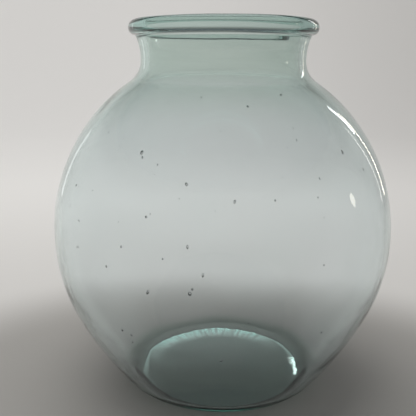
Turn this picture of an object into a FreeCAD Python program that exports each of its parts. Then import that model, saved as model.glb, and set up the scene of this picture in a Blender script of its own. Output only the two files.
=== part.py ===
import FreeCAD, Part
import math
import os

# A wide-mouthed glass carboy. All sizes in millimetres, z = 0 on the surface it stands on.
# Every wall outline is a chain of tangent arcs. A heading is the direction the wall runs in,
# in degrees: 0 runs straight outwards, 90 straight up, more than 90 leans back to the axis.

# Overall sizes
HEIGHT = 390.5
BODY_RADIUS = 180.0
WALL = 6.0
NECK_WALL = 8.5
LINING_SPANS = 8

# Outside of the body, from the foot upwards
FOOT_HEADING = 9.5
HEEL_ROUND = 38.0
HEEL_HEADING = 51.0
FLANK_ROUND = 410.0
FLANK_HEADING = 63.5
BELLY_ROUND = 188.5

# Neck
WAIST_RADIUS = 85.5
CROOK_ROUND = 26.0
FLARE_ROUND = 62.0

# Thick bottom
CORNER_ROUND = 12.0
FLOOR_DOME = 1400.0
FOOT_WIDTH = 2.5
PUSH_UP = 3.5

# Rolled rim
MOUTH_RADIUS = 81.5
RIM_RADIUS = 97.5
RIM_UNDER_ROUND = 6.5
RIM_OVER_ROUND = 7.5
LIP_ROUND = 5.0


def point(radius, height):
    return FreeCAD.Vector(radius, 0, height)


def spot(arc, heading, depth=0.0):
    """Point where the wall runs at a heading, so deep inside the outer surface."""
    centre_radius, centre_height, rounding = arc
    turn = math.radians(heading)
    reach = rounding - depth
    return point(centre_radius + reach * math.sin(turn), centre_height - reach * math.cos(turn))


def follow(arc, heading, rounding):
    """The arc that carries on smoothly from another one. A hollow curve has a negative rounding."""
    turn = math.radians(heading)
    step = arc[2] - rounding
    return (arc[0] + step * math.sin(turn), arc[1] - step * math.cos(turn), rounding)


def edge_along(arc, start, end, depth=0.0):
    middle = (start + end) / 2
    return Part.Arc(spot(arc, start, depth), spot(arc, middle, depth), spot(arc, end, depth)).toShape()


def straight(start, end):
    return Part.makeLine(start, end)


def turned(edges):
    """Solid swept once round the axis by a closed outline."""
    outline = Part.Wire(edges)
    section = Part.Face(outline)
    return section.revolve(point(0, 0), FreeCAD.Vector(0, 0, 1), 360)


def heel_centre():
    """Radius of the middle of the heel curve, set by the widest radius of the body."""
    heel = math.sin(math.radians(HEEL_HEADING))
    flank = math.sin(math.radians(FLANK_HEADING))
    reach = HEEL_ROUND * heel + FLANK_ROUND * (flank - heel) + BELLY_ROUND * (1 - flank)
    return BODY_RADIUS - reach


def shoulder_heading():
    """Heading where the belly turns over into the neck, set by the radius of the waist."""
    drop = (BODY_RADIUS - WAIST_RADIUS) / (BELLY_ROUND + CROOK_ROUND)
    return 180 - math.degrees(math.asin(1 - drop))


def outer_arcs():
    """Heel, flank, belly, crook and flare, each one tangent to the one below."""
    rise = HEEL_ROUND * math.cos(math.radians(FOOT_HEADING))
    heel = (heel_centre(), rise, HEEL_ROUND)
    flank = follow(heel, HEEL_HEADING, FLANK_ROUND)
    belly = follow(flank, FLANK_HEADING, BELLY_ROUND)
    crook = follow(belly, shoulder_heading(), -CROOK_ROUND)
    flare = follow(crook, 90, -FLARE_ROUND)
    return heel, flank, belly, crook, flare


def flare_heading(flare, height, depth):
    """Heading of the flare at a height, so deep inside the outer surface."""
    reach = FLARE_ROUND + depth
    return math.degrees(math.acos((height - flare[1]) / reach))


def rim_seat(flare):
    """Height where the inside of the flare has opened out to the mouth radius."""
    reach = FLARE_ROUND + NECK_WALL
    inset = flare[0] - MOUTH_RADIUS
    return flare[1] + math.sqrt(reach * reach - inset * inset)


def wall_depth(heading):
    """Wall thickness of the body: even up to the widest radius, then growing towards the neck."""
    climb = max(0.0, (heading - 90) / (shoulder_heading() - 90))
    return WALL + (NECK_WALL - WALL) * climb * climb * (3 - 2 * climb)


def belly_lining(belly):
    """Inside of the belly as one smooth curve, running down from the neck to the flank."""
    fall = (shoulder_heading() - FLANK_HEADING) / LINING_SPANS
    headings = [shoulder_heading() - fall * span for span in range(LINING_SPANS + 1)]
    curve = Part.BSplineCurve()
    curve.interpolate([spot(belly, heading, wall_depth(heading)) for heading in headings])
    return curve.toShape()


def dome_edge(centre, edge):
    """Shallow arc from a high point on the axis out to an edge point."""
    rise = centre.z - edge.z
    rounding = (edge.x * edge.x + rise * rise) / (2 * rise)
    half = edge.x / 2
    middle = point(half, centre.z - rounding + math.sqrt(rounding * rounding - half * half))
    return Part.Arc(centre, middle, edge).toShape()


def make_base():
    """Thick bottom with its narrow standing ring, the push-up under it and the heavy heel."""
    heel = outer_arcs()[0]
    heel_inside = (heel[0], heel[1], HEEL_ROUND - WALL)
    corner = follow(heel_inside, HEEL_HEADING, CORNER_ROUND)
    lean = math.asin(corner[0] / (FLOOR_DOME + CORNER_ROUND))
    floor_edge = spot(corner, -math.degrees(lean))
    floor_top = corner[1] - (FLOOR_DOME + CORNER_ROUND) * math.cos(lean) + FLOOR_DOME
    floor_centre = point(0, floor_top)
    under_centre = point(0, PUSH_UP)
    ring_outside = spot(heel, FOOT_HEADING)
    ring_inside = point(ring_outside.x - FOOT_WIDTH, 0)
    edges = [
        dome_edge(under_centre, ring_inside),
        straight(ring_inside, ring_outside),
        edge_along(heel, FOOT_HEADING, HEEL_HEADING),
        straight(spot(heel, HEEL_HEADING), spot(heel, HEEL_HEADING, WALL)),
        edge_along(corner, HEEL_HEADING, -math.degrees(lean)),
        dome_edge(floor_centre, floor_edge),
        straight(floor_centre, under_centre),
    ]
    return turned(edges)


def make_globe():
    """Blown body from the heel up to where the shoulder turns into the neck."""
    flank, belly = outer_arcs()[1:3]
    top = shoulder_heading()
    edges = [
        edge_along(flank, HEEL_HEADING, FLANK_HEADING),
        edge_along(belly, FLANK_HEADING, top),
        straight(spot(belly, top), spot(belly, top, NECK_WALL)),
        belly_lining(belly),
        edge_along(flank, FLANK_HEADING, HEEL_HEADING, WALL),
        straight(spot(flank, HEEL_HEADING, WALL), spot(flank, HEEL_HEADING)),
    ]
    return turned(edges)


def make_neck():
    """Hollow curve that turns the shoulder up into the waist."""
    crook = outer_arcs()[3]
    bottom = shoulder_heading()
    edges = [
        edge_along(crook, bottom, 90),
        straight(spot(crook, 90), spot(crook, 90, NECK_WALL)),
        edge_along(crook, 90, bottom, NECK_WALL),
        straight(spot(crook, bottom, NECK_WALL), spot(crook, bottom)),
    ]
    return turned(edges)


def make_flare():
    """Upper neck, which opens out again from the waist up to the rim."""
    flare = outer_arcs()[4]
    seat = rim_seat(flare)
    outer_end = flare_heading(flare, seat, 0)
    inner_end = flare_heading(flare, seat, NECK_WALL)
    edges = [
        edge_along(flare, 90, outer_end),
        straight(spot(flare, outer_end), spot(flare, inner_end, NECK_WALL)),
        edge_along(flare, inner_end, 90, NECK_WALL),
        straight(spot(flare, 90, NECK_WALL), spot(flare, 90)),
    ]
    return turned(edges)


def make_rim():
    """Rolled bead round the mouth, with a straight bore inside."""
    seat = rim_seat(outer_arcs()[4])
    under = (RIM_RADIUS - RIM_UNDER_ROUND, seat + RIM_UNDER_ROUND, RIM_UNDER_ROUND)
    over = (RIM_RADIUS - RIM_OVER_ROUND, HEIGHT - RIM_OVER_ROUND, RIM_OVER_ROUND)
    lip = (MOUTH_RADIUS + LIP_ROUND, HEIGHT - LIP_ROUND, LIP_ROUND)
    inner_foot = point(MOUTH_RADIUS, seat)
    edges = [
        straight(inner_foot, spot(under, 0)),
        edge_along(under, 0, 90),
        straight(spot(under, 90), spot(over, 90)),
        edge_along(over, 90, 180),
        straight(spot(over, 180), spot(lip, 180)),
        edge_along(lip, 180, 270),
        straight(spot(lip, 270), inner_foot),
    ]
    return turned(edges)


def main():
    os.makedirs("parts", exist_ok=True)
    make_base().exportStep("parts/base.step")
    make_globe().exportStep("parts/globe.step")
    make_neck().exportStep("parts/neck.step")
    make_flare().exportStep("parts/flare.step")
    make_rim().exportStep("parts/rim.step")


main()
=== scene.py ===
import math
import random

import bmesh
import bpy
from mathutils import Matrix, Vector, noise


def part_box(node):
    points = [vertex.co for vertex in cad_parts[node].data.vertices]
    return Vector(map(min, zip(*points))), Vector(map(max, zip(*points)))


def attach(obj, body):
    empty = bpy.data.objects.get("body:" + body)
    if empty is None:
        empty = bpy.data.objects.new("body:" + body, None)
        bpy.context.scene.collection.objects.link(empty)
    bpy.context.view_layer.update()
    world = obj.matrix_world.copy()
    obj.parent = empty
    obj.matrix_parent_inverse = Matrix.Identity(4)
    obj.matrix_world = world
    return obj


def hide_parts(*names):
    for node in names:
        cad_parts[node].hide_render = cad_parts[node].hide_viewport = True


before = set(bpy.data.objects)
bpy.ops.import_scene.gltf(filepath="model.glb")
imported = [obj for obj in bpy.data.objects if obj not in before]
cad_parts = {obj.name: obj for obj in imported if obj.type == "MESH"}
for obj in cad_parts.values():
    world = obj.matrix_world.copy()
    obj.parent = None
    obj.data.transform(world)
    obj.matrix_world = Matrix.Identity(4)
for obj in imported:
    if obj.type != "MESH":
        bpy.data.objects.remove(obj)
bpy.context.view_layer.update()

# A wide-mouthed carboy of pale aqua blown glass. Lengths in metres, headings in degrees.
# The glass is one closed mesh. Its outline is a chain of tangent arcs (centre radius, centre
# height, rounding), each point of which is nudged along its normal by the unevenness of
# blown glass. A heading is the direction the wall runs in: 0 outwards, 90 straight up.

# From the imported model
GLOBE_LOW, GLOBE_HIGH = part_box("globe")
RIM_LOW, RIM_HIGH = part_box("rim")
BODY_RADIUS = (GLOBE_HIGH.x - GLOBE_LOW.x) / 2
RIM_RADIUS = (RIM_HIGH.x - RIM_LOW.x) / 2
RIM_SEAT = RIM_LOW.z
HEIGHT = RIM_HIGH.z

# Glass thickness
WALL = 0.006
NECK_WALL = 0.0085

# Outside, from the foot upwards
FOOT_HEADING = 9.5
HEEL_ROUND = 0.038
HEEL_HEADING = 51.0
FLANK_ROUND = 0.410
FLANK_HEADING = 63.5
BELLY_ROUND = 0.1885
WAIST_RADIUS = 0.0855
CROOK_ROUND = 0.026
FLARE_ROUND = 0.062

# Bottom and rim
CORNER_ROUND = 0.012
FLOOR_DOME = 1.4
FOOT_WIDTH = 0.0025
PUSH_UP = 0.0035
RIM_UNDER_ROUND = 0.0065
RIM_OVER_ROUND = 0.0075
LIP_ROUND = 0.005

# Distance between mesh points: round the axis, along the wall, on the neck, heel and bead
COLUMNS = 288
COARSE = 0.003
NECK_STEP = COARSE * 0.6
HEEL_STEP = COARSE * 0.5
UNDERSIDE_STEP = COARSE * 0.7
FINE = 0.0011
SAME_PLACE = 1e-5

# Waves in the glass, as (waves per metre, height) or for ripples (waves per metre, share)
LUMPS = ((8.0, 0.0006), (21.0, 0.00025))
SAGS = ((13.0, 0.0002), (45.0, 0.00005))
RIPPLES = ((34.0, 1.0), (80.0, 0.2))
OUTER_RIPPLE = 0.00005
OUTER_SHIFT = Vector((0.0, 5.2, 2.4))
INNER_RIPPLE = 0.0001
INNER_SHIFT = Vector((3.7, 1.3, 8.1))

# The bottom is smooth up to a height, and its underside sags inside a radius
SMOOTH_TOP = 0.016
SMOOTH_FADE = 0.03
SAG_REACH = 0.09
SAG_FADE = 0.02

# Tool rings, from a little below the rim
RING_BAND = 0.045
RING_FADE = 0.02
RING_PITCH = 0.0095
RING_WOBBLE = 0.005
RING_WOBBLE_RATE = 12.0
OUTER_RING = 0.00002
INNER_RING = 0.00005

# Larger seeds: (angle round the axis, heading of the wall there, half width)
BIG_SEEDS = (
    (261.5, 85.7, 0.0015),
    (262.2, 87.0, 0.0010),
    (242.2, 122.0, 0.0014),
    (243.0, 120.6, 0.0008),
    (259.4, 114.1, 0.0011),
    (248.2, 104.9, 0.0010),
    (260.8, 98.1, 0.0009),
    (235.4, 89.9, 0.0009),
    (265.1, 90.9, 0.0009),
    (240.8, 96.2, 0.0008),
    (253.9, 94.5, 0.0008),
    (215.7, 109.6, 0.0010),
    (285.4, 109.9, 0.0008),
)
SMALL_SEEDS = 110
SMALL_SEED_LEAST = 0.0003
SMALL_SEED_SPREAD = 0.0009
SEED_THICKEST = 0.0014
SEED_COLUMNS = 12
SEED_ROWS = 7

# Colour of the glass: at the foot, green and also darkened as painted shade, then (from height,
# to height, colour) for body, neck, bead
FOOT_TINT_AND_SHADE = (0.76, 0.86, 0.82, 1.0)
TINT_BANDS = (
    (0.010, 0.020, (0.99, 0.970, 0.985, 1.0)),
    (0.275, 0.350, (0.85, 0.87, 0.85, 1.0)),
    (0.370, 0.377, (0.71, 0.765, 0.745, 1.0)),
)
STREAK_TINT = (0.970, 1.0, 0.993, 1.0)
GLASS_IOR = 1.52
ABSORB_COLOUR = (0.625, 0.950, 0.915, 1.0)
ABSORB_DENSITY = 20.0

# Roughness
HAZE_ROUGHNESS = 0.035
FOOT_ROUGHNESS = 0.12
GROUND_TOP = 0.0012
CHILL_ROUGHNESS = 0.10

# Fine relief
GRAIN_RATE = 110.0
GRAIN_HEIGHT = 0.0002
GRAIN_STRENGTH = 0.12
GRAIN_BLEND = (0.016, 0.040)
CHILL_HEIGHT = 0.000006
CHILL_BLEND = (0.045, 0.085)
SPOKES = 32.0
SPOKE_BREAKS = 45.0

# Painted light on the floor under the foot: a painted caustic (a crescent inside the far edge
# and a thin line along the edge) and a painted glint. Angles round the axis, in degrees: the
# crescent and the thin line along the edge as (towards, gone by, full within), distances in from
# the edge
CRESCENT_SIDE = (104, 84, 0)
CRESCENT_DEPTH = (0.026, 0.001)
CRESCENT_STREAKS = (0.30, 0.62)
STREAK_SHARE = 0.9
STREAK_LEAST = 0.55
PAINTED_CAUSTIC_GLOW = 0.60
EDGE_SIDE = (96, 135, 70)
EDGE_DEPTH = (0.007, 0.001)
PAINTED_EDGE_GLOW = 0.55
CUT_OFF = 0.0005
# The painted glint: (towards, gone by, width of the patch)
PAINTED_GLINT_LOBES = ((4, 8, 0.008), (-8, 9, 0.003))
PAINTED_GLINT_INSET = 0.002
PAINTED_GLINT_BREAKS = (0.32, 0.46)
PAINTED_GLINT_GLOW = 2.5
# Colours of the painted light: white for the painted glint and the stage glow, aqua for the
# painted caustic
PAINTED_LIGHT_WHITE = (1.0, 0.985, 0.965, 1.0)
PAINTED_CAUSTIC_AQUA = (0.72, 1.0, 0.96, 1.0)

# Stage: a flat floor just under the foot, a round sweep up and a wall
FLOOR_HEIGHT = -0.0004
FLOOR_RING = 0.12
FLOOR_RINGS = 20
SWEEP_START = 2.4
SWEEP_RADIUS = 1.1
WALL_RADIUS = 3.5
WALL_HEIGHTS = (1.5, 2.0, 2.6)
STAGE_SIDES = 128
STAGE_COLOUR = (0.50, 0.49, 0.47, 1.0)
# Its painted light, a faint glow: by distance from a place in front, nil near it as a painted
# shadow pool round the carboy, then by height, front to back, and right, dimmer at the front and
# on the right as painted shade
GLOW_CENTRE_SHIFT = (0.0, 0.15, 0.0)
AWAY = ((0.33, 0.52), (0.0, 0.42))
ABOVE = ((1.3, 2.3), (1.0, 0.25))
FRONT = ((-0.3, 1.2), (0.50, 1.0))
RIGHT = ((-0.6, 1.8), (1.0, 0.6))

# Soft lamps over the stage: (name, place, side, watts, casts shadows)
SOFT_LAMPS = (
    ("over", (-0.4, 0.3, 2.2), 2.4, 17, True),
    ("fill", (-0.3, 0.2, 2.3), 1.8, 12, False),
)
SOFT_COLOUR = (1.0, 0.98, 0.95)

# Lamps that only glint in the glass: (name, outline, place, size, watts, colour)
GLINTS = (
    ("slit_white", "RECTANGLE", (1.60, 1.67, 1.18), (0.085, 0.62), 1.2, (0.95, 0.98, 1.0)),
    ("slit_cream", "RECTANGLE", (1.52, 1.74, 0.60), (0.03, 1.15), 1.0, (1.0, 0.93, 0.80)),
    ("slit_faint", "RECTANGLE", (1.76, 1.50, 0.62), (0.02, 1.1), 0.35, (1.0, 0.97, 0.95)),
    ("strip", "RECTANGLE", (-1.60, 1.66, 0.43), (0.16, 0.8), 0.30, (0.96, 0.98, 1.0)),
    ("patch", "ELLIPSE", (2.35, 0.12, 0.62), (0.15, 0.25), 0.45, (1.0, 0.95, 0.82)),
)
GLINT_AIM = 0.85

WORLD_COLOUR = (0.82, 0.86, 0.92, 1.0)
WORLD_STRENGTH = 0.16

# Camera
CAMERA_PLACE = (0.0, -0.6711, 0.34608)
CAMERA_PITCH = 12.89
CAMERA_YAW = -1.30
CAMERA_ROLL = 0.23
CAMERA_LENS = 54.23

LIGHT_BOUNCES = 24


# ---------------------------------------------------------------- outline of the glass

def spot(arc, heading, depth=0.0):
    """(radius, height) where the wall runs at a heading, so deep inside the outer surface."""
    turn = math.radians(heading)
    reach = arc[2] - depth
    return (arc[0] + reach * math.sin(turn), arc[1] - reach * math.cos(turn))


def follow(arc, heading, rounding):
    """The arc that carries on smoothly from another. A hollow curve has a negative rounding."""
    turn = math.radians(heading)
    step = arc[2] - rounding
    return (arc[0] + step * math.sin(turn), arc[1] - step * math.cos(turn), rounding)


def along(arc, start, end, step, depth=lambda heading: 0.0):
    """Points along an arc, about a step apart."""
    length = (abs(arc[2]) + depth(start)) * abs(math.radians(end - start))
    count = max(3, round(length / step))
    headings = [start + (end - start) * index / count for index in range(count + 1)]
    return [spot(arc, heading, depth(heading)) for heading in headings]


def between(start, end, step):
    """Points along a straight run."""
    count = max(1, round(math.dist(start, end) / step))
    return [
        (start[0] + (end[0] - start[0]) * i / count, start[1] + (end[1] - start[1]) * i / count)
        for i in range(count + 1)
    ]


def dome(centre_height, edge, step):
    """Points along a shallow arc, from its top on the axis out to an edge point."""
    rise = centre_height - edge[1]
    rounding = (edge[0] ** 2 + rise ** 2) / (2 * rise)
    count = max(4, round(edge[0] / step))
    radii = [edge[0] * index / count for index in range(count + 1)]
    return [(r, centre_height - rounding + math.sqrt(rounding ** 2 - r ** 2)) for r in radii]


def heel_centre():
    """Radius of the middle of the heel curve, set by the widest radius of the body."""
    heel = math.sin(math.radians(HEEL_HEADING))
    flank = math.sin(math.radians(FLANK_HEADING))
    reach = HEEL_ROUND * heel + FLANK_ROUND * (flank - heel) + BELLY_ROUND * (1 - flank)
    return BODY_RADIUS - reach


HEEL = (heel_centre(), HEEL_ROUND * math.cos(math.radians(FOOT_HEADING)), HEEL_ROUND)
FOOT_RADIUS = spot(HEEL, FOOT_HEADING)[0]
FLANK = follow(HEEL, HEEL_HEADING, FLANK_ROUND)
BELLY = follow(FLANK, FLANK_HEADING, BELLY_ROUND)
SHOULDER = 180 - math.degrees(
    math.asin(1 - (BODY_RADIUS - WAIST_RADIUS) / (BELLY_ROUND + CROOK_ROUND))
)
CROOK = follow(BELLY, SHOULDER, -CROOK_ROUND)
FLARE = follow(CROOK, 90, -FLARE_ROUND)


def flare_end(depth):
    """Heading of the flare where it meets the rim."""
    return math.degrees(math.acos((RIM_SEAT - FLARE[1]) / (FLARE_ROUND + depth)))


def wall_depth(heading):
    """Even up to the widest radius, then thicker towards the neck."""
    climb = min(1.0, max(0.0, (heading - 90) / (SHOULDER - 90)))
    return WALL + (NECK_WALL - WALL) * climb * climb * (3 - 2 * climb)


def outside_rows():
    """From the middle of the underside out, up the body and over the rim."""
    under = (RIM_RADIUS - RIM_UNDER_ROUND, RIM_SEAT + RIM_UNDER_ROUND, RIM_UNDER_ROUND)
    over = (RIM_RADIUS - RIM_OVER_ROUND, HEIGHT - RIM_OVER_ROUND, RIM_OVER_ROUND)
    rows = dome(PUSH_UP, (FOOT_RADIUS - FOOT_WIDTH, 0.0), UNDERSIDE_STEP)
    rows += between((FOOT_RADIUS - FOOT_WIDTH, 0.0), (FOOT_RADIUS, 0.0), FINE)
    rows += along(HEEL, FOOT_HEADING, HEEL_HEADING, HEEL_STEP)
    rows += along(FLANK, HEEL_HEADING, FLANK_HEADING, COARSE)
    rows += along(BELLY, FLANK_HEADING, SHOULDER, COARSE)
    rows += along(CROOK, SHOULDER, 90, NECK_STEP)
    rows += along(FLARE, 90, flare_end(0), NECK_STEP)
    rows += along(under, 0, 90, FINE)
    rows += along(over, 90, 180, FINE)
    return rows


def inside_rows():
    """From the top of the rim down the bore, the neck and the body to the middle of the floor."""
    drop = RIM_SEAT - FLARE[1]
    bore = FLARE[0] - math.sqrt((FLARE_ROUND + NECK_WALL) ** 2 - drop ** 2)
    lip = (bore + LIP_ROUND, HEIGHT - LIP_ROUND, LIP_ROUND)
    corner = follow((HEEL[0], HEEL[1], HEEL_ROUND - WALL), HEEL_HEADING, CORNER_ROUND)
    lean = math.asin(corner[0] / (FLOOR_DOME + CORNER_ROUND))
    floor_top = corner[1] - (FLOOR_DOME + CORNER_ROUND) * math.cos(lean) + FLOOR_DOME
    floor_edge = spot(corner, -math.degrees(lean))
    rows = along(lip, 180, 270, FINE)
    rows += between(spot(lip, 270), (bore, RIM_SEAT), FINE)
    rows += along(FLARE, flare_end(NECK_WALL), 90, NECK_STEP, lambda heading: NECK_WALL)
    rows += along(CROOK, 90, SHOULDER, NECK_STEP, lambda heading: NECK_WALL)
    rows += along(BELLY, SHOULDER, FLANK_HEADING, COARSE, wall_depth)
    rows += along(FLANK, FLANK_HEADING, HEEL_HEADING, COARSE, wall_depth)
    rows += along(corner, HEEL_HEADING, -math.degrees(lean), FINE)
    rows += reversed(dome(floor_top, floor_edge, COARSE))
    return rows


def without_repeats(rows):
    """The rows without any that lies on the one before it."""
    kept = [rows[0]]
    for row in rows[1:]:
        if math.dist(row, kept[-1]) > SAME_PLACE:
            kept.append(row)
    return kept


def normals_of(rows):
    """Direction out of the glass at each row, as (outwards, up)."""
    normals = []
    for index in range(len(rows)):
        before = rows[max(0, index - 1)]
        after = rows[min(len(rows) - 1, index + 1)]
        length = math.dist(before, after)
        normals.append(((after[1] - before[1]) / length, (before[0] - after[0]) / length))
    return normals


# ---------------------------------------------------------------- unevenness of blown glass

def waves(place, terms):
    """Sum of smooth noises, each term as (waves per metre, height)."""
    return sum(height * noise.noise(place * rate) for rate, height in terms)


def ripple(place, inner):
    """Small waves of one face alone. They bend what is seen through the wall."""
    shift = INNER_SHIFT if inner else OUTER_SHIFT
    size = INNER_RIPPLE if inner else OUTER_RIPPLE
    return size * sum(share * noise.noise(place * rate + shift) for rate, share in RIPPLES)


def tool_rings(place, inner):
    """Faint rings round the neck, where the hot glass was turned against a tool."""
    climb = min(1.0, max(0.0, (place.z - RIM_SEAT + RING_BAND) / RING_FADE))
    wobble = RING_WOBBLE * noise.noise(place * RING_WOBBLE_RATE)
    size = INNER_RING if inner else OUTER_RING
    return size * climb * math.sin((place.z + wobble) * 2 * math.pi / RING_PITCH)


def settled(row):
    """0 at the foot and on the smooth floor, 1 higher up the wall."""
    return min(1.0, max(0.0, (row[1] - SMOOTH_TOP) / SMOOTH_FADE))


def sag(place, row):
    """Slow waves of the underside inside the standing ring."""
    if row[1] > PUSH_UP or row[0] > SAG_REACH:
        return 0.0
    return min(1.0, (SAG_REACH - row[0]) / SAG_FADE) * waves(place, SAGS)


def ring_of(row, normal, inner):
    """One row of points round the axis."""
    points = []
    for column in range(COLUMNS):
        angle = 2 * math.pi * column / COLUMNS
        out = Vector((math.cos(angle), math.sin(angle), 0.0))
        place = out * row[0] + Vector((0.0, 0.0, row[1]))
        side = out * normal[0] + Vector((0.0, 0.0, normal[1]))
        swell = waves(place, LUMPS)
        push = ripple(place, inner) + tool_rings(place, inner)
        push += -swell if inner else swell
        points.append(place + side * (push * settled(row) + sag(place, row)))
    return points


def add_caps(mesh, top, bottom, rings, column, after):
    """The two triangles of one column, at the poles of a closed round form."""
    mesh.faces.new((top, rings[0][after], rings[0][column]))
    mesh.faces.new((bottom, rings[-1][column], rings[-1][after]))


def add_shell(mesh):
    """The whole vessel: up the outside, over the rim, down the inside."""
    outside = without_repeats(outside_rows())
    rows = without_repeats(outside + inside_rows())
    normals = normals_of(rows)
    low_pole = mesh.verts.new((0.0, 0.0, rows[0][1]))
    high_pole = mesh.verts.new((0.0, 0.0, rows[-1][1]))
    rings = []
    for index in range(1, len(rows) - 1):
        points = ring_of(rows[index], normals[index], index >= len(outside))
        rings.append([mesh.verts.new(place) for place in points])
    for column in range(COLUMNS):
        after = (column + 1) % COLUMNS
        add_caps(mesh, low_pole, high_pole, rings, column, after)
        for lower, upper in zip(rings, rings[1:]):
            mesh.faces.new((lower[column], lower[after], upper[after], upper[column]))


# ---------------------------------------------------------------- seeds, the small air bubbles

def add_seed(mesh, centre, axes):
    """Air bubble: a closed ellipsoid whose faces look inwards, out of the glass."""
    rings = []
    for row in range(1, SEED_ROWS):
        tilt = math.pi * row / SEED_ROWS
        ring = []
        for column in range(SEED_COLUMNS):
            turn = 2 * math.pi * column / SEED_COLUMNS
            flat = axes[0] * math.cos(turn) + axes[1] * math.sin(turn)
            ring.append(mesh.verts.new(centre + flat * math.sin(tilt) + axes[2] * math.cos(tilt)))
        rings.append(ring)
    top = mesh.verts.new(centre + axes[2])
    bottom = mesh.verts.new(centre - axes[2])
    for column in range(SEED_COLUMNS):
        after = (column + 1) % SEED_COLUMNS
        add_caps(mesh, top, bottom, rings, column, after)
        for upper, lower in zip(rings, rings[1:]):
            mesh.faces.new((upper[column], upper[after], lower[after], lower[column]))


def seed_axes(angle, heading, size, chance):
    """Long way along the wall, thin way through it."""
    out = Vector((math.cos(angle), math.sin(angle), 0.0))
    round_about = Vector((-math.sin(angle), math.cos(angle), 0.0))
    turn = math.radians(heading)
    up = Vector((0.0, 0.0, 1.0))
    run = out * math.cos(turn) + up * math.sin(turn)
    thick = run.cross(round_about)
    swing = Matrix.Rotation(chance.uniform(-0.5, 0.5), 3, thick)
    stretch = chance.uniform(1.0, 2.2)
    thickness = min(size * 0.8, SEED_THICKEST)
    axes = [swing @ round_about * size, thick * thickness, swing @ run * size * stretch]
    if axes[0].cross(axes[1]).dot(axes[2]) < 0:
        axes[0] = -axes[0]
    return axes


def seed_centre(angle, heading, share):
    """Place in the wall of the belly, at a share of its depth."""
    radius, height = spot(BELLY, heading, wall_depth(heading) * share)
    return Vector((radius * math.cos(angle), radius * math.sin(angle), height))


def add_seeds(mesh):
    chance = random.Random(7)
    for degrees, heading, size in BIG_SEEDS:
        angle = math.radians(degrees)
        centre = seed_centre(angle, heading, 0.5)
        add_seed(mesh, centre, seed_axes(angle, heading, size, chance))
    for _ in range(SMALL_SEEDS):
        heading = chance.uniform(FLANK_HEADING, SHOULDER)
        angle = chance.uniform(0, 2 * math.pi)
        size = SMALL_SEED_LEAST + SMALL_SEED_SPREAD * chance.random() ** 3
        centre = seed_centre(angle, heading, chance.uniform(0.4, 0.6))
        add_seed(mesh, centre, seed_axes(angle, heading, size, chance))


# ---------------------------------------------------------------- shader nodes

class Shading:
    """A new material, with short ways to add the nodes that it needs."""

    def __init__(self, name):
        self.material = bpy.data.materials.new(name)
        self.material.use_nodes = True
        self.nodes = self.material.node_tree.nodes
        self.links = self.material.node_tree.links
        self.shader = self.nodes["Principled BSDF"]
        self.place = self.nodes.new("ShaderNodeTexCoord").outputs["Object"]
        split = self.nodes.new("ShaderNodeSeparateXYZ")
        self.links.new(self.place, split.inputs["Vector"])
        self.x, self.y, self.height = (split.outputs[axis] for axis in "XYZ")

    def put(self, socket, value):
        """Give a socket a fixed value, or link another socket to it."""
        if isinstance(value, bpy.types.NodeSocket):
            self.links.new(value, socket)
        else:
            socket.default_value = value

    def ramp(self, value, source, target=(0.0, 1.0), kind="SMOOTHSTEP"):
        """Carry a range of values over to another range, and hold at its ends."""
        node = self.nodes.new("ShaderNodeMapRange")
        node.interpolation_type = kind
        node.inputs["From Min"].default_value, node.inputs["From Max"].default_value = source
        node.inputs["To Min"].default_value, node.inputs["To Max"].default_value = target
        self.links.new(value, node.inputs["Value"])
        return node.outputs["Result"]

    def noise(self, place, scale, detail):
        node = self.nodes.new("ShaderNodeTexNoise")
        node.inputs["Scale"].default_value = scale
        node.inputs["Detail"].default_value = detail
        self.links.new(place, node.inputs["Vector"])
        return node.outputs["Fac"]

    def mix(self, factor, first, second, kind="MIX"):
        node = self.nodes.new("ShaderNodeMix")
        node.data_type = "RGBA"
        node.blend_type = kind
        self.put(node.inputs["Factor"], factor)
        self.put(node.inputs["A"], first)
        self.put(node.inputs["B"], second)
        return node.outputs["Result"]

    def math(self, operation, first, *others):
        """One operation after another on a value."""
        for other in others:
            node = self.nodes.new("ShaderNodeMath")
            node.operation = operation
            self.put(node.inputs[0], first)
            self.put(node.inputs[1], other)
            first = node.outputs["Value"]
        return first

    def vector(self, operation, first, second=None):
        """The node itself, because some operations give a value and some a vector."""
        node = self.nodes.new("ShaderNodeVectorMath")
        node.operation = operation
        self.links.new(first, node.inputs[0])
        if second is not None:
            self.put(node.inputs[1], second)
        return node

    def combine(self, **parts):
        node = self.nodes.new("ShaderNodeCombineXYZ")
        for axis, value in parts.items():
            self.links.new(value, node.inputs[axis])
        return node.outputs["Vector"]

    def relief(self, height, strength, distance, under=None):
        node = self.nodes.new("ShaderNodeBump")
        node.inputs["Strength"].default_value = strength
        node.inputs["Distance"].default_value = distance
        self.links.new(height, node.inputs["Height"])
        if under is not None:
            self.links.new(under, node.inputs["Normal"])
        return node.outputs["Normal"]


def ring_places(shading):
    """Distance and direction from the axis, and fine wrinkles that run outwards from it."""
    flat = shading.combine(X=shading.x, Y=shading.y)
    reach = shading.vector("LENGTH", flat).outputs["Value"]
    facing = shading.vector("NORMALIZE", flat).outputs["Vector"]
    spokes = shading.vector("SCALE", facing)
    spokes.inputs["Scale"].default_value = SPOKES
    outwards = shading.combine(Z=shading.math("MULTIPLY", reach, SPOKE_BREAKS))
    where = shading.vector("ADD", spokes.outputs["Vector"], outwards)
    return reach, facing, shading.noise(where.outputs["Vector"], 1.0, 1.0)


def towards(shading, facing, angle, wide, narrow):
    """1 along one direction from the axis, falling to 0 a spread of degrees to each side."""
    aim = math.radians(angle)
    turn = shading.vector("DOT_PRODUCT", facing, (math.cos(aim), math.sin(aim), 0.0))
    ends = (math.cos(math.radians(wide)), math.cos(math.radians(narrow)))
    return shading.ramp(turn.outputs["Value"], ends)


# ---------------------------------------------------------------- glass

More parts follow.
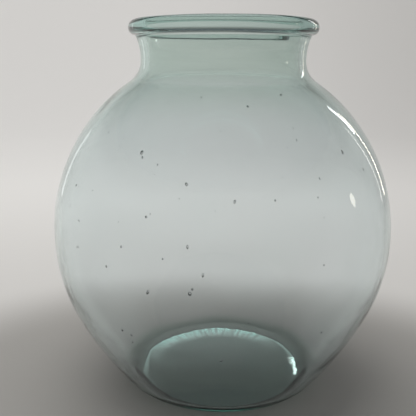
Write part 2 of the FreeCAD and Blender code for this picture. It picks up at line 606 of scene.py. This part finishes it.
def chill_marks(shading):
    """Wrinkles under the foot, where the hot glass met the mould, and how dull it is there."""
    reach, _, wrinkles = ring_places(shading)
    low = shading.math("LESS_THAN", shading.height, PUSH_UP + CUT_OFF)
    inside = shading.math("LESS_THAN", reach, FOOT_RADIUS)
    dull = shading.math("MULTIPLY", low, inside, shading.ramp(reach, CHILL_BLEND))
    return shading.math("MULTIPLY", wrinkles, dull), dull


def glass_tint(shading):
    """Green at the foot and darker there as painted shade, nearly clear in the body, greener in
    the thick neck and bead.
    """
    tint = FOOT_TINT_AND_SHADE
    for low, high, colour in TINT_BANDS:
        tint = shading.mix(shading.ramp(shading.height, (low, high)), tint, colour)
    streaks = shading.noise(shading.place, 9.0, 2.0)
    return shading.mix(streaks, tint, STREAK_TINT, "MULTIPLY")


def glass_material():
    """Clear blown glass with faint haze and grain, ground where it stands."""
    shading = Shading("pale_aqua_glass")
    shader = shading.shader
    shader.inputs["Transmission Weight"].default_value = 1.0
    shader.inputs["IOR"].default_value = GLASS_IOR
    shading.links.new(glass_tint(shading), shader.inputs["Base Color"])

    marks, dull = chill_marks(shading)
    cloud = shading.noise(shading.place, 26.0, 4.0)
    haze = shading.ramp(cloud, (0.45, 0.80), (0.0, HAZE_ROUGHNESS), "LINEAR")
    foot = shading.ramp(shading.height, (0.0, GROUND_TOP), (FOOT_ROUGHNESS, 0.0), "LINEAR")
    rough = shading.math("ADD", haze, foot, shading.math("MULTIPLY", dull, CHILL_ROUGHNESS))
    shading.links.new(rough, shader.inputs["Roughness"])

    grain = shading.noise(shading.place, GRAIN_RATE, 2.0)
    grain = shading.math("MULTIPLY", grain, shading.ramp(shading.height, GRAIN_BLEND))
    normal = shading.relief(grain, GRAIN_STRENGTH, GRAIN_HEIGHT)
    normal = shading.relief(marks, 1.0, CHILL_HEIGHT, normal)
    shading.links.new(normal, shader.inputs["Normal"])

    absorb = shading.nodes.new("ShaderNodeVolumeAbsorption")
    absorb.inputs["Color"].default_value = ABSORB_COLOUR
    absorb.inputs["Density"].default_value = ABSORB_DENSITY
    output = shading.nodes["Material Output"]
    shading.links.new(absorb.outputs["Volume"], output.inputs["Volume"])
    return shading.material


def to_object(mesh, name, material):
    data = bpy.data.meshes.new(name)
    mesh.to_mesh(data)
    mesh.free()
    data.shade_smooth()
    data.materials.append(material)
    piece = bpy.data.objects.new(name, data)
    bpy.context.scene.collection.objects.link(piece)
    return piece


def make_carboy():
    mesh = bmesh.new()
    add_shell(mesh)
    add_seeds(mesh)
    carboy = to_object(mesh, "carboy_glass", glass_material())
    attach(carboy, "root")
    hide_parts("base", "globe", "neck", "flare", "rim")


# ---------------------------------------------------------------- stage

def in_from_edge(shading, reach, depth):
    """0 at one distance in from the edge of the foot, 1 at a nearer one."""
    return shading.ramp(reach, (FOOT_RADIUS - depth[0], FOOT_RADIUS - depth[1]))


def painted_caustic_and_glint(shading):
    """Painted light on the floor under the foot: a painted caustic, a crescent inside its far
    edge, and a painted glint beside it.
    """
    reach, facing, wrinkles = ring_places(shading)
    inside = shading.math("LESS_THAN", reach, FOOT_RADIUS - CUT_OFF)
    side = towards(shading, facing, *CRESCENT_SIDE)
    near = in_from_edge(shading, reach, CRESCENT_DEPTH)
    streaks = shading.math("MULTIPLY", shading.ramp(wrinkles, CRESCENT_STREAKS), STREAK_SHARE)
    streaks = shading.math("ADD", streaks, STREAK_LEAST)
    painted_caustic = shading.math("MULTIPLY", side, near, inside, streaks)
    side = towards(shading, facing, *EDGE_SIDE)
    near = in_from_edge(shading, reach, EDGE_DEPTH)
    edge = shading.math("MULTIPLY", near, side, inside, PAINTED_EDGE_GLOW)
    painted_caustic = shading.math("MAXIMUM", painted_caustic, edge)
    lobes = []
    for angle, wide, width in PAINTED_GLINT_LOBES:
        side = towards(shading, facing, angle, wide, wide * 0.5)
        near = in_from_edge(shading, reach, (PAINTED_GLINT_INSET + width, PAINTED_GLINT_INSET))
        lobes.append(shading.math("MULTIPLY", side, near))
    painted_glint = shading.math("MAXIMUM", *lobes)
    painted_glint = shading.math("MULTIPLY", painted_glint, shading.ramp(wrinkles, PAINTED_GLINT_BREAKS), inside)
    return painted_caustic, painted_glint


def painted_stage_glow(shading):
    """Painted light and shade on the stage: a faint glow away from the carboy, like a lit studio
    wall, leaving a painted shadow pool round the carboy, dimmer at the front and on the right.
    """
    shifted = shading.vector("ADD", shading.place, GLOW_CENTRE_SHIFT).outputs["Vector"]
    reach = shading.vector("LENGTH", shifted).outputs["Value"]
    above = shading.ramp(shading.height, *ABOVE)
    front = shading.ramp(shading.y, *FRONT)
    right = shading.ramp(shading.x, *RIGHT)
    return shading.math("MULTIPLY", shading.ramp(reach, *AWAY), above, front, right)


def stage_material():
    """Pale matt paint that glows a little as painted light, with the painted caustic and painted
    glint that lie under the foot.
    """
    shading = Shading("pale_stage")
    shader = shading.shader
    shader.inputs["Base Color"].default_value = STAGE_COLOUR
    shader.inputs["Roughness"].default_value = 0.9
    shader.inputs["Specular IOR Level"].default_value = 0.2
    # Painted caustic and painted glint under the foot, given off as emission
    painted_caustic, painted_glint = painted_caustic_and_glint(shading)
    colour = shading.mix(painted_caustic, PAINTED_LIGHT_WHITE, PAINTED_CAUSTIC_AQUA)
    shading.links.new(colour, shader.inputs["Emission Color"])
    painted_caustic = shading.math("MULTIPLY", painted_caustic, PAINTED_CAUSTIC_GLOW)
    painted_glint = shading.math("MULTIPLY", painted_glint, PAINTED_GLINT_GLOW)
    # Emission: the painted stage glow with its painted shade, and the painted light under the
    # foot
    strength = shading.math("ADD", painted_stage_glow(shading), painted_caustic, painted_glint)
    shading.links.new(strength, shader.inputs["Emission Strength"])
    return shading.material


def stage_rows():
    """Floor that curves up into a wall all round, as (radius, height)."""
    rows = [(FLOOR_RING * step, FLOOR_HEIGHT) for step in range(1, FLOOR_RINGS + 1)]
    for lean in range(5, 91, 5):
        turn = math.radians(lean)
        rise = SWEEP_RADIUS - SWEEP_RADIUS * math.cos(turn)
        rows.append((SWEEP_START + SWEEP_RADIUS * math.sin(turn), rise))
    return rows + [(WALL_RADIUS, height) for height in WALL_HEIGHTS]


def make_stage():
    mesh = bmesh.new()
    turns = [2 * math.pi * i / STAGE_SIDES for i in range(STAGE_SIDES)]
    centre = mesh.verts.new((0.0, 0.0, FLOOR_HEIGHT))
    rings = []
    for radius, height in stage_rows():
        places = [(radius * math.cos(turn), radius * math.sin(turn), height) for turn in turns]
        rings.append([mesh.verts.new(place) for place in places])
    for i in range(STAGE_SIDES):
        j = (i + 1) % STAGE_SIDES
        mesh.faces.new((centre, rings[0][i], rings[0][j]))
        for near, far in zip(rings, rings[1:]):
            mesh.faces.new((near[i], far[i], far[j], near[j]))
    to_object(mesh, "stage", stage_material())


# ---------------------------------------------------------------- light and camera

def add_light(name, shape, place, target, size, power, colour):
    """Area lamp that the camera doesn't see."""
    data = bpy.data.lights.new(name, "AREA")
    data.shape = shape
    data.size, data.size_y = size
    data.energy = power
    data.color = colour
    light = bpy.data.objects.new(name, data)
    light.location = place
    aim = Vector(target) - Vector(place)
    light.rotation_euler = aim.to_track_quat("-Z", "Y").to_euler()
    light.visible_camera = False
    light.visible_transmission = False
    bpy.context.scene.collection.objects.link(light)
    return light


def make_lights():
    """Soft lamps that the glass doesn't mirror, and lamps that only glint in it."""
    for name, place, side, power, shadows in SOFT_LAMPS:
        size = (side, side)
        lamp = add_light(name, "RECTANGLE", place, (0, 0, 0), size, power, SOFT_COLOUR)
        lamp.data.use_shadow = shadows
        lamp.visible_glossy = False
    for name, shape, place, size, power, colour in GLINTS:
        target = (0, 0, place[2] * GLINT_AIM)
        glint = add_light(name, shape, place, target, size, power, colour)
        glint.visible_diffuse = False


def make_world():
    world = bpy.data.worlds.new("studio")
    world.use_nodes = True
    back = world.node_tree.nodes["Background"]
    back.inputs["Color"].default_value = WORLD_COLOUR
    back.inputs["Strength"].default_value = WORLD_STRENGTH
    bpy.context.scene.world = world


def make_camera():
    data = bpy.data.cameras.new("camera")
    data.lens = CAMERA_LENS
    data.clip_start = 0.01
    camera = bpy.data.objects.new("camera", data)
    camera.location = CAMERA_PLACE
    yaw = math.radians(CAMERA_YAW)
    pitch = math.radians(CAMERA_PITCH)
    level = Vector((math.sin(yaw), math.cos(yaw), 0.0)) * math.cos(pitch)
    aim = (level - Vector((0.0, 0.0, math.sin(pitch)))).to_track_quat("-Z", "Y")
    roll = Matrix.Rotation(math.radians(CAMERA_ROLL), 3, "Z")
    camera.rotation_euler = (aim.to_matrix() @ roll).to_euler()
    bpy.context.scene.collection.objects.link(camera)
    bpy.context.scene.camera = camera


make_carboy()
make_stage()
make_world()
make_lights()
make_camera()
bpy.context.scene.view_settings.view_transform = "Standard"
bpy.context.scene.cycles.max_bounces = LIGHT_BOUNCES
bpy.context.scene.cycles.transmission_bounces = LIGHT_BOUNCES
